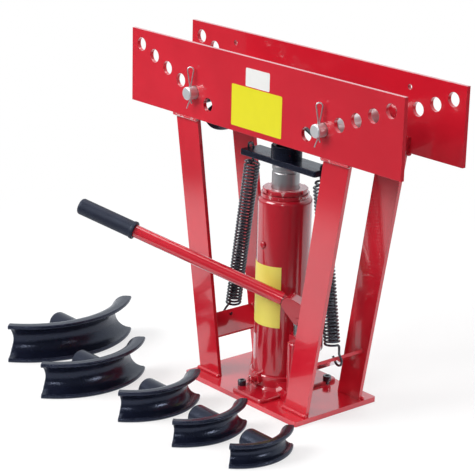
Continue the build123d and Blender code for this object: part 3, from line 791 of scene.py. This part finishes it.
@dataclass
class FrameWelds:
    """Weld beads of the frame: plates on legs, legs on the base plate, braces between the legs.

    Sizes are in millimetres. Those of the drops and their skin are shares of a drop's radius.
    """

    finish: Material
    # Paint of the plate beads, whose pale edges and chips are partly painted highlight.
    chipped: Material
    leg_outside: float = 57.5
    leg_inside: float = 51.5
    base_top: float = 8.0
    plate_bottom: float = 412.0
    foot: Pair = (78.0, 124.0)
    neck: Pair = (142.2, 194.3)
    brace_middle: Pair = (112.74, 78.5)
    brace_half: Pair = (21.0, 2.5)
    brace_tilt: float = 36.0
    plate_bead: float = 4.2
    foot_bead: float = 3.8
    small_bead: float = 2.6
    bead_stand: float = 0.5
    brace_stand: float = 0.4
    brace_sink: float = 0.6
    brace_end: float = 2.0
    drop_step: float = 0.95
    drop_height: float = 0.86
    drop_mesh: tuple[int, int] = (14, 8)
    skin_voxel: float = 0.3
    skin_factor: float = 0.5
    skin_passes: int = 3
    pieces: list[Piece] = field(default_factory=list)

    def build(self) -> list[Piece]:
        """Model one bead of each kind and copy it to the four corners of the frame.

        Returns:
            The beads.
        """
        stand = self.bead_stand * self.plate_bead
        y, z = self.leg_outside + stand, self.plate_bottom - stand
        self.spread("weld_plate", [(x, y, z) for x in self.neck], self.plate_bead, self.chipped)
        stand = self.bead_stand * self.foot_bead
        y, z = self.leg_outside + stand, self.base_top + stand
        self.spread("weld_foot", [(x, y, z) for x in self.foot], self.foot_bead, self.finish)
        self.spread("weld_brace", self.brace_ends(), self.small_bead, self.finish)
        return self.pieces

    def brace_ends(self) -> list[Point]:
        """Ends of the bead between the right brace's upper face and the back leg.

        Returns:
            Two points in millimetres.
        """
        turn = radians(self.brace_tilt)
        half, rise = self.brace_half
        x, z = self.brace_middle
        out, reach = rise + self.brace_stand, half - self.brace_end
        return [
            (
                x + along * cos(turn) - out * sin(turn),
                self.leg_inside - self.brace_sink,
                z + along * sin(turn) + out * cos(turn),
            )
            for along in (-reach, reach)
        ]

    def spread(self, kind: str, ends: Sequence[Point], radius: float, finish: Material) -> None:
        """Model the bead at the right of the back and copy it to each corner of the frame.

        Args:
            kind: First part of the beads' names.
            ends: Both ends of the bead at the right of the back, in millimetres.
            radius: Radius of its drops in millimetres.
            finish: Its paint.
        """
        model = self.run(f"{kind}_model", *ends, radius)
        for side in Side:
            for row in Row:
                bead = mirrored(model, f"{kind}_{row.word}_{side.word}", side, row)
                dress(bead, finish)
                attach(bead, "frame")
                self.pieces.append(bead)
        bpy.data.objects.remove(model)

    def run(self, name: str, start: Point, end: Point, radius: float) -> Piece:
        """Lay one bead as a row of overlapping drops fused into one skin.

        Args:
            name: Name of the bead.
            start: First end in millimetres.
            end: Second end in millimetres.
            radius: Radius of the drops in millimetres.

        Returns:
            The bead.
        """
        first, last = Vector(start) * MM, Vector(end) * MM
        count = round((last - first).length / (self.drop_step * radius * MM))
        segments, rings = self.drop_mesh
        deselect()
        bpy.ops.mesh.primitive_uv_sphere_add(
            segments=segments, ring_count=rings, radius=radius * MM, location=first
        )
        piece = started(name)
        edit(piece)
        bpy.ops.transform.resize(value=(1.0, 1.0, self.drop_height), center_override=first)
        bpy.ops.object.mode_set(mode="OBJECT")
        settle(piece)
        modify(piece, "ARRAY", {
            "use_relative_offset": False,
            "use_constant_offset": True,
            "constant_offset_displace": (last - first) / count,
            "count": count + 1,
        })
        modify(piece, "REMESH", {"mode": "VOXEL", "voxel_size": self.skin_voxel * radius * MM})
        modify(piece, "SMOOTH", {"factor": self.skin_factor, "iterations": self.skin_passes})
        smooth(piece, 180.0)
        return piece


@dataclass
class BlankStickers:
    """Plain stickers: a yellow and a white one on the front plate, a pale one round the tank.

    Sizes are in millimetres.
    """

    yellow: Material
    white: Material
    pale: Material
    yellow_corners: tuple[Pair, Pair] = ((-55.0, 420.5), (57.0, 483.0))
    white_corners: tuple[Pair, Pair] = ((-24.0, 484.5), (29.0, 512.0))
    plate_face: float = -63.5
    film: float = 0.22
    corner: float = 2.0
    corner_steps: int = 5
    tank_radius: float = 41.5
    label_gap: float = 0.06
    label_rows: Pair = (114.0, 211.0)
    label_turn: float = 90.0
    label_steps: int = 32
    pieces: list[Piece] = field(default_factory=list)

    def build(self) -> list[Piece]:
        """Build the stickers and let them ride on the frame.

        Returns:
            The stickers.
        """
        self.flat("sticker_yellow", *self.yellow_corners, self.yellow)
        self.flat("sticker_white", *self.white_corners, self.white)
        self.round_label()
        return self.pieces

    def keep(self, piece: Piece, finish: Material) -> None:
        """Give a sticker its thickness and film and let it ride on the frame.

        Args:
            piece: The sticker as a bare face.
            finish: Its film.
        """
        modify(piece, "SOLIDIFY", {"thickness": self.film * MM, "offset": 1.0})
        smooth(piece, 30.0)
        dress(piece, finish)
        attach(piece, "frame")
        self.pieces.append(piece)

    def flat(self, name: str, low: Pair, high: Pair, finish: Material) -> None:
        """A flat sticker with rounded corners on the front plate.

        Args:
            name: Name of the sticker.
            low: Left and lower edge in millimetres.
            high: Right and upper edge in millimetres.
            finish: Its film.
        """
        middle = Vector((low[0] + high[0], 2 * self.plate_face, low[1] + high[1])) * 0.5 * MM
        deselect()
        bpy.ops.mesh.primitive_plane_add(size=1.0, location=middle, rotation=(pi / 2, 0.0, 0.0))
        piece = started(name)
        piece.scale = ((high[0] - low[0]) * MM, (high[1] - low[1]) * MM, 1.0)
        settle(piece)
        edit(piece)
        bpy.ops.mesh.bevel(offset=self.corner * MM, segments=self.corner_steps, affect="VERTICES")
        bpy.ops.object.mode_set(mode="OBJECT")
        self.keep(piece, finish)

    def round_label(self) -> None:
        """The label that follows the round of the tank."""
        radius = self.tank_radius + self.label_gap
        turn = radians(self.label_turn)
        x, y = -radius * sin(turn / 2), -radius * cos(turn / 2)
        edge = [Vector((x, y, z)) for z in self.label_rows]
        piece = spun("sticker_tank", edge, self.label_steps, -turn)
        if piece.data.polygons[0].normal.y > 0:
            piece.data.flip_normals()
        self.keep(piece, self.pale)


@dataclass
class ReturnSprings:
    """The two return springs, each one wire: hook at the brace, coil, hook at the crossbar.

    Sizes are in millimetres and of the right spring.
    """

    finish: Material
    wire: float = 1.8
    coil: float = 10.95
    turns: int = 45
    per_turn: int = 20
    brace_hole: Pair = (121.64, 84.97)
    brace_tilt: float = 36.0
    brace_half: float = 2.5
    brace_stand: float = 4.5
    bar_hole: Pair = (76.0, 362.0)
    bar_top: float = 371.0
    bar_stand: float = 3.6
    lead_low: float = 17.5
    lead_high: float = 12.0
    lead_straight: float = 0.3
    bend: float = 4.0
    bend_steps: int = 6
    top_pitch: float = 2.4
    low_hook: float = 7.3
    low_gap: float = 1.2
    low_tip: float = 4.0
    low_rises: Pair = (4.0, 8.0)
    high_hook: float = 5.7
    high_gap: float = 1.0
    high_tip: float = -6.0
    hook_steps: int = 18

    def build(self) -> list[Piece]:
        """Model the right spring, mirror a copy to the left, dress both and hide the CAD springs.

        Returns:
            The springs.
        """
        line = self.lower_hook() + self.coil_line() + self.upper_hook()
        right = wire_along("return_spring_right", line, self.wire)
        left = mirrored(right, "return_spring_left", Side.LEFT, Row.BACK)
        start, way, length = self.axis()
        coil_ends = [start + way * k for k in (self.lead_low, length - self.lead_high)]
        for side, piece in zip(Side, (left, right)):
            dress(piece, self.finish)
            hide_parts(f"spring_{side.word}")
            start, end = (Vector((side.value * p.x, p.y, p.z)) * MM for p in coil_ends)
            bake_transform(piece)
        return [left, right]

    def axis(self) -> tuple[Vector, Vector, float]:
        """Start, direction and length of the spring's axis.

        Returns:
            Start point above the brace, unit direction and length in millimetres.
        """
        turn = radians(self.brace_tilt)
        stand = self.brace_half + self.brace_stand
        x, z = self.brace_hole
        start = Vector((x - sin(turn) * stand, 0.0, z + cos(turn) * stand))
        end = Vector((self.bar_hole[0], 0.0, self.bar_hole[1] - self.bar_stand))
        way = end - start
        return start, way.normalized(), way.length

    def hook_turns(self) -> list[float]:
        """Angles of a hook's half turn."""
        return [pi * k / self.hook_steps for k in range(self.hook_steps + 1)]

    def lower_hook(self) -> list[Vector]:
        """Tip up through the brace's hole, bend under the brace and rise outside its edge.

        Returns:
            Points in millimetres.
        """
        turn = radians(self.brace_tilt)
        out = Vector((cos(turn), 0.0, sin(turn)))
        up = Vector((-sin(turn), 0.0, cos(turn)))
        hole = Vector((self.brace_hole[0], 0.0, self.brace_hole[1]))
        middle = hole - up * (self.brace_half + self.low_gap) + out * self.low_hook
        tip = [hole + up * rise for rise in (self.brace_half + self.low_tip, 0.0)]
        bend = [
            middle - out * (self.low_hook * cos(a)) - up * (self.low_hook * sin(a))
            for a in self.hook_turns()
        ]
        return tip + bend + [bend[-1] + up * rise for rise in self.low_rises]

    def coil_line(self) -> list[Vector]:
        """Bend from the outer edge into the coil, the coil, and a spiral in to the axis on top.

        Returns:
            Points in millimetres.
        """
        start, way, length = self.axis()
        across = Vector((way.z, 0.0, -way.x))
        forward = Vector((0.0, -1.0, 0.0))
        low, high = self.lead_low, length - self.lead_high
        pitch = (high - low) / self.turns
        count = self.turns * self.per_turn
        edge = start + way * (low - self.bend) + across * self.coil
        points = [
            edge - forward * (self.bend * cos(a)) + way * (self.bend * sin(a))
            for a in (pi / 2 * k / self.bend_steps for k in range(self.bend_steps))
        ]
        for k in range(count + self.per_turn // 2 + 1):
            turn = 2 * pi * k / self.per_turn
            past = max(k - count, 0) / self.per_turn
            reach = self.coil * sqrt(max(1.0 - (2 * past) ** 2, 0.0))
            lift = min(low + pitch * k / self.per_turn, high) + self.top_pitch * pitch * past
            ring = across * (reach * cos(turn)) + forward * (reach * sin(turn))
            points.append(start + way * lift + ring)
        points.append(start + way * (length - self.lead_straight * self.lead_high))
        return points

    def upper_hook(self) -> list[Vector]:
        """Wire up through the crossbar's hole and over the end of its lug.

        Returns:
            Points in millimetres.
        """
        x, z = self.bar_hole
        middle = Vector((x + self.high_hook, 0.0, self.bar_top + self.high_gap))
        bend = [
            middle + Vector((-self.high_hook * cos(a), 0.0, self.high_hook * sin(a)))
            for a in self.hook_turns()
        ]
        tip = middle + Vector((self.high_hook, 0.0, self.high_tip))
        return [Vector((x, 0.0, z)), Vector((x, 0.0, self.bar_top))] + bend + [tip]


@dataclass
class PinClips:
    """Wire clips of the roller pins: a tall loop on the pin, both legs through its cross hole.

    Sizes are in millimetres.
    """

    finish: Material
    pin_x: float = 143.6
    hole_y: float = -71.0
    pin_z: float = 452.2
    turn: float = 40.0
    wire: float = 1.0
    leg: float = 1.1
    root: float = 12.5
    loop: float = 4.6
    loop_middle: float = 35.4
    loop_dip: float = 8.5
    loop_steps: int = 24
    long_tail: Pair = (-5.1, -24.0)
    short_tail: Pair = (2.6, -16.5)

    def outline(self) -> list[Pair]:
        """The wire from its long tail over the loop to its short tail.

        Returns:
            Places across and above the pin's middle in millimetres.
        """
        first, whole = 180.0 + self.loop_dip, 180.0 + 2 * self.loop_dip
        steps = range(self.loop_steps + 1)
        sweep = [radians(first - k * whole / self.loop_steps) for k in steps]
        line = [self.long_tail, (-self.leg, -self.root), (-self.leg, self.root)]
        line += [(self.loop * cos(a), self.loop_middle + self.loop * sin(a)) for a in sweep]
        return line + [(self.leg, self.root), (self.leg, -self.root), self.short_tail]

    def build(self) -> list[Piece]:
        """Bend the left clip, copy it to the right pin and let each turn with its pin.

        Returns:
            The clips.
        """
        turn = radians(self.turn)
        hole = Vector((-self.pin_x, self.hole_y, self.pin_z))
        line = [hole + Vector((u * cos(turn), u * sin(turn), w)) for u, w in self.outline()]
        left = wire_along("pin_clip_left", line, self.wire)
        right = copy_of(left, "pin_clip_right")
        settle(right, Matrix.Translation((2 * self.pin_x * MM, 0.0, 0.0)))
        for side, piece in zip(Side, (left, right)):
            dress(piece, self.finish)
            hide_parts(f"clip_{side.word}")
            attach(piece, f"pin_{side.word}")
        return [left, right]


@dataclass
class HandleGrip:
    """The moulded grip: a thick collar, a barrel and a domed end. Sizes are in millimetres."""

    finish: Material
    pump: Point = (68.0, -26.0, 160.0)
    bearing: float = 31.0
    slope: float = 18.0
    reach: Pair = (278.0, 375.0)
    tube: float = 10.05
    mouth_depth: float = 12.0
    mouth_edge: float = 0.6
    collar: float = 14.1
    collar_edge: float = 1.2
    collar_length: float = 5.0
    shoulder: Pair = (0.9, 6.4)
    barrel: float = 12.9
    barrel_start: float = 7.4
    dome: float = 5.0
    dome_steps: int = 8
    steps: int = 56

    def profile(self) -> list[Pair]:
        """Corners of the grip from its mouth to its domed end.

        Returns:
            Radius and distance along the handle in millimetres.
        """
        low, high = self.reach
        drop, lift = self.shoulder
        flat, top = self.barrel - self.dome, high - self.dome
        line = [
            (self.tube, low + self.mouth_depth),
            (self.tube, low + self.mouth_edge),
            (self.tube + self.mouth_edge, low),
            (self.collar - self.collar_edge, low),
            (self.collar, low + self.collar_edge),
            (self.collar, low + self.collar_length),
            (self.collar - drop, low + lift),
            (self.barrel, low + self.barrel_start),
            (self.barrel, top),
        ]
        for k in range(1, self.dome_steps + 1):
            turn = pi / 2 * k / self.dome_steps
            line.append((flat + self.dome * cos(turn), top + self.dome * sin(turn)))
        return line + [(0.0, high)]

    def build(self) -> Piece:
        """Turn the grip and set it on the handle.

        Returns:
            The grip.
        """
        line = [Vector((radius, 0.0, height)) for radius, height in self.profile()]
        piece = spun("moulded_grip", line, self.steps, 2 * pi)
        bearing, slope = radians(self.bearing), radians(self.slope)
        way = Vector((-cos(bearing) * cos(slope), -sin(bearing) * cos(slope), sin(slope)))
        tilt = way.to_track_quat("Z", "Y").to_matrix().to_4x4()
        settle(piece, Matrix.Translation(Vector(self.pump) * MM) @ tilt)
        smooth(piece, 35.0)
        dress(piece, self.finish)
        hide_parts("handle_grip")
        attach(piece, "handle")
        return piece


@dataclass
class Studio:
    """Floor, light and the camera of the photograph.

    Floor and lamps are in metres, the camera's distance and target in millimetres.
    """

    floor_half: float = 12.0
    floor_drop: float = 0.2 * MM
    aim: Point = (-0.05, -0.05, 0.25)
    azimuth: float = 49.55
    elevation: float = 17.41
    roll: float = -1.37
    distance: float = 2736.4
    target: Point = (-114.28, 0.0, 217.29)
    focal_pixels: float = 1742.41
    middle_pixel: Pair = (235.05, 237.22)
    image: float = 475.0
    sensor: float = 36.0
    clip_start: float = 0.05
    world_light: float = 0.40
    cool: Color = (0.90, 0.95, 1.0)
    dim: Color = (0.16, 0.17, 0.20)
    dusk: Pair = (-0.35, 0.35)

    def build(self) -> None:
        """Build the floor, the world, the lamps and the camera."""
        self.floor()
        self.world()
        for lamp in Lamp:
            self.light(lamp)
        self.camera()
        bpy.context.scene.view_settings.view_transform = "Standard"

    def floor(self) -> None:
        """A wide floor just under the object."""
        deselect()
        place = (0.0, 0.0, -self.floor_drop)
        bpy.ops.mesh.primitive_plane_add(size=2 * self.floor_half, location=place)
        piece = started("studio_floor")
        settle(piece)
        dress(piece, StudioFloor().build())

    def world(self) -> None:
        """White backdrop for straight views; mirrors see white behind the bender, dim before it."""
        g = Graph("studio_world", bpy.data.worlds, "ShaderNodeOutputWorld")
        sight = g.add("ShaderNodeTexCoord", {}, {}, "Generated")
        turn = radians(self.azimuth)
        behind = g.vector("DOT_PRODUCT", sight, (-sin(turn), cos(turn), 0.0))
        shown = g.blend(g.step(behind, *self.dusk), self.dim, self.cool)
        last = self.backdrop(g, WHITE, self.world_light)
        for ray, color in ((Ray.GLOSSY, shown), (Ray.THROUGH, WHITE), (Ray.CAMERA, WHITE)):
            last = g.mixed(g.ray(ray), last, self.backdrop(g, color, 1.0))
        bpy.context.scene.world = g.close(last)

    @staticmethod
    def backdrop(graph: Graph, color: Sock | Color, strength: float) -> Sock:
        """One light of the world, of a colour and a strength."""
        sockets = {"Color": rgba(color), "Strength": strength}
        return graph.add("ShaderNodeBackground", {}, sockets, "Background")

    def light(self, kind: Lamp) -> None:
        """One square soft lamp that faces the bender.

        Args:
            kind: Which lamp it is.
        """
        place, size, watts = kind.value
        deselect()
        bpy.ops.object.light_add(type="AREA", location=place)
        lamp = bpy.context.object
        lamp.name = f"{kind.name.lower()}_lamp"
        lamp.data.shape = "SQUARE"
        lamp.data.size = size
        lamp.data.energy = watts
        way = Vector(self.aim) - Vector(place)
        lamp.rotation_euler = way.to_track_quat("-Z", "Y").to_euler()

    def camera(self) -> None:
        """The camera at the photograph's angle."""
        az, el, roll = (radians(a) for a in (self.azimuth, self.elevation, self.roll))
        back = Vector((sin(az) * cos(el), -cos(az) * cos(el), sin(el)))
        level = Vector((cos(az), sin(az), 0.0))
        up = back.cross(level)
        right = level * cos(roll) - up * sin(roll)
        top = level * sin(roll) + up * cos(roll)
        place = (Vector(self.target) + back * self.distance) * MM
        lens = bpy.data.cameras.new("photo_camera")
        lens.sensor_width = self.sensor
        lens.lens = self.sensor * self.focal_pixels / self.image
        lens.shift_x = (self.image / 2 - self.middle_pixel[0]) / self.image
        lens.shift_y = (self.middle_pixel[1] - self.image / 2) / self.image
        lens.clip_start = self.clip_start
        camera = bpy.data.objects.new("photo_camera", lens)
        turn = Matrix((right, top, back)).transposed().to_4x4()
        camera.matrix_world = Matrix.Translation(place) @ turn
        bpy.context.scene.collection.objects.link(camera)
        bpy.context.scene.camera = camera


Finish = RedPaint | CastIron | Steel | OiledSteel | Rubber | StickerFilm


def made(finish: Finish) -> Material:
    """A dataclass field that builds a finish and holds its material."""
    return field(default_factory=finish.build)


@dataclass
class Finishes:
    """All finishes of the bender, built once."""

    red: Material = made(RedPaint())
    # Weld paint with more pale edge and chips: partly real chips, partly painted highlight of the
    # lit beads.
    red_on_welds_highlit: Material = made(RedPaint("red_paint_on_welds", wear_and_highlight=0.7, chips=0.10))
    # Darker jack red: its own deeper paint plus painted shade.
    crimson_and_shade: Material = made(RedPaint("crimson_jack_paint", *JACK_PAINT_AND_SHADE))
    crimson_chipped: Material = made(
        RedPaint("crimson_paint_chipped", *JACK_PAINT_AND_SHADE, wear_and_highlight=0.7, chips=0.03)
    )
    cast: Material = made(CastIron())
    chromed: Material = made(Steel("chromed_ram", SteelKind.CHROMED, RAM_STREAKS))
    turned: Material = made(Steel("turned_rollers", SteelKind.TURNED))
    plated: Material = made(Steel("plated_fittings", SteelKind.PLATED, EVEN_STREAKS))
    # Plunger steel darkened as painted shade.
    oily: Material = made(Steel("oily_plunger", SteelKind.OILY, PLUNGER_STREAKS))
    drawn: Material = made(Steel("drawn_pins", SteelKind.DRAWN))
    zinc: Material = made(Steel("zinc_wire", SteelKind.ZINC, EVEN_STREAKS))
    blued: Material = made(OiledSteel())
    rubber: Material = made(Rubber())
    yellow: Material = made(StickerFilm("film_yellow", (0.76, 0.70, 0.012)))
    white: Material = made(StickerFilm("film_white", (0.80, 0.80, 0.78)))
    pale: Material = made(StickerFilm("film_pale_yellow", (0.80, 0.70, 0.12)))
    jack_nodes: tuple[str, ...] = (
        "jack_base", "jack_tank", "pump_body", "pump_gland", "fork_lever", "link_straps",
        "anchor_pin", "fulcrum_pin", "plunger_pin", "filler_plug", "release_valve",
    )

    def dress_nodes(self, nodes: dict[str, Piece]) -> None:
        """Give every CAD node its finish.

        Args:
            nodes: The CAD nodes by name.
        """
        by_slot = {
            "red_paint": self.red,
            "black_cast": self.cast,
            "bare_steel": self.plated,
            "black_steel": self.blued,
            "black_rubber": self.rubber,
        }
        # The plunger's steel and the head nut's red carry painted shade.
        special = {"ram": self.chromed, "head_nut": self.crimson_chipped, "pump_plunger": self.oily}
        # The jack's parts take the darker red with its painted shade.
        for name in self.jack_nodes:
            special[name] = self.crimson_and_shade
        for side in Side:
            special[f"roller_{side.word}"] = self.turned
            special[f"roller_pin_{side.word}"] = self.drawn
        for entry in frame["record"]["subparts"]:
            name = entry["node"]
            dress(nodes[name], special.get(name, by_slot[entry["material_slot"]]))


def main() -> None:
    """Dress the CAD nodes, add the pieces that only the scene has, and set up the studio."""
    logging.basicConfig(level=logging.INFO, format="%(message)s")
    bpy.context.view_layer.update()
    deselect()
    finishes = Finishes()
    finishes.dress_nodes(frame["nodes"])
    pieces = FrameWelds(finishes.red, finishes.red_on_welds_highlit).build()
    pieces += BlankStickers(finishes.yellow, finishes.white, finishes.pale).build()
    pieces += ReturnSprings(finishes.blued).build()
    pieces += PinClips(finishes.zinc).build()
    pieces.append(HandleGrip(finishes.rubber).build())
    for piece in pieces:
        log.info("%s: %d faces", piece.name, len(piece.data.polygons))
    Studio().build()
    deselect()


if __name__ == "__main__":
    main()
